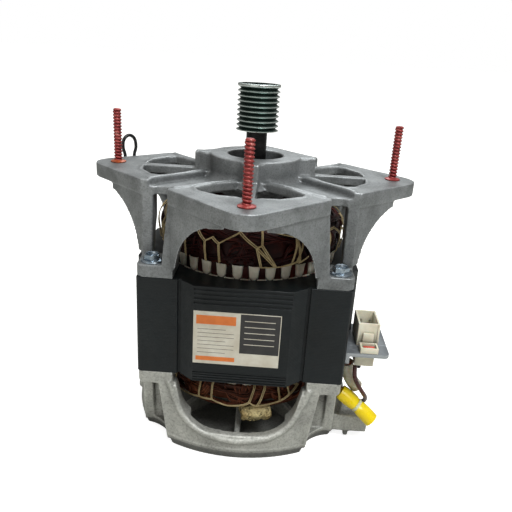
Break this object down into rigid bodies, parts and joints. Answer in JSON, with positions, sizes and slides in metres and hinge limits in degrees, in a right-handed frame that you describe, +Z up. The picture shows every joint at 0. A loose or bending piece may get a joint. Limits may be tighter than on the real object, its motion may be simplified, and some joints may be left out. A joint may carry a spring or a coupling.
{
  "type": "washing machine motor",
  "caption": "Induction drive motor with cast end bells, bare stator, studded mounting ears, grooved pulley and a side connector.",
  "frame": {"origin": "on the shaft axis in the plane of the four ears' top faces, the centre of the stud circle", "axes": "+Z up the shaft to the pulley, -Y towards the side with the bare label panel, +X towards the connector"},
  "size_m": [0.2486, 0.2486, 0.2704],
  "materials": {
    "upper_casting": "cast, slightly rough",
    "lower_casting": "cast, rough",
    "stator_black": "dark satin enamel over laminations",
    "liner": "folded insulation film",
    "winding": "glossy red-brown varnish over copper",
    "protector": "cream woven cover",
    "shaft_steel": "dark oxide",
    "rotor_steel": "turned laminations",
    "rotor_cage": "die cast",
    "pulley_zinc": "turned, yellow-green zinc",
    "bearing_steel": "ground",
    "bolt_zinc": "bright bluish zinc",
    "stud_red": "red thread coating",
    "bracket_grey": "blue-grey satin",
    "ivory_plastic": "moulded nylon",
    "terminal_tin": "tin plated",
    "red_insulation": "wire insulation",
    "brown_insulation": "wire insulation",
    "yellow_sleeve": "extruded sleeve",
    "cream_sleeve": "translucent sleeve",
    "tie_plastic": "translucent nylon",
    "black_insulation": "wire insulation"
  },
  "bodies": {
    "frame": {"upper_end_bell": "upper_casting", "lower_end_bell": "lower_casting", "stator_core": "stator_black", "slot_liners": "liner", "winding_sides": "winding", "upper_winding_core": "winding", "lower_winding_core": "winding", "upper_winding_turns": "winding", "lower_winding_turns": "winding", "thermal_protector": "protector", "wave_washer": "bearing_steel", "upper_bearing_outer_ring": "bearing_steel", "lower_bearing_outer_ring": "bearing_steel", "through_bolt_1": "bolt_zinc", "through_bolt_2": "bolt_zinc", "through_bolt_3": "bolt_zinc", "through_bolt_4": "bolt_zinc", "mounting_stud_1": "stud_red", "mounting_stud_2": "stud_red", "mounting_stud_3": "stud_red", "mounting_stud_4": "stud_red", "connector_bracket": "bracket_grey", "connector_header": "ivory_plastic", "header_latch": "ivory_plastic", "connector_plug": "ivory_plastic", "side_socket": "ivory_plastic", "connector_terminals": "terminal_tin", "red_lead": "red_insulation", "brown_lead": "brown_insulation", "lead_sleeve": "yellow_sleeve", "cream_sleeve": "cream_sleeve", "sleeve_tie": "tie_plastic", "wire_loop": "black_insulation", "loop_clip": "black_insulation"},
    "rotor": {"shaft": "shaft_steel", "rotor_core": "rotor_steel", "upper_end_ring": "rotor_cage", "lower_end_ring": "rotor_cage", "pulley": "pulley_zinc", "upper_bearing_inner_ring": "bearing_steel", "lower_bearing_inner_ring": "bearing_steel", "upper_bearing_balls": "bearing_steel", "lower_bearing_balls": "bearing_steel"}
  },
  "joints": [
    {"name": "rotor_spin", "type": "hinge", "parent": "frame", "child": "rotor", "pos_m": [0, 0, 0], "axis": [0, 0, 1], "continuous": true}
  ]
}
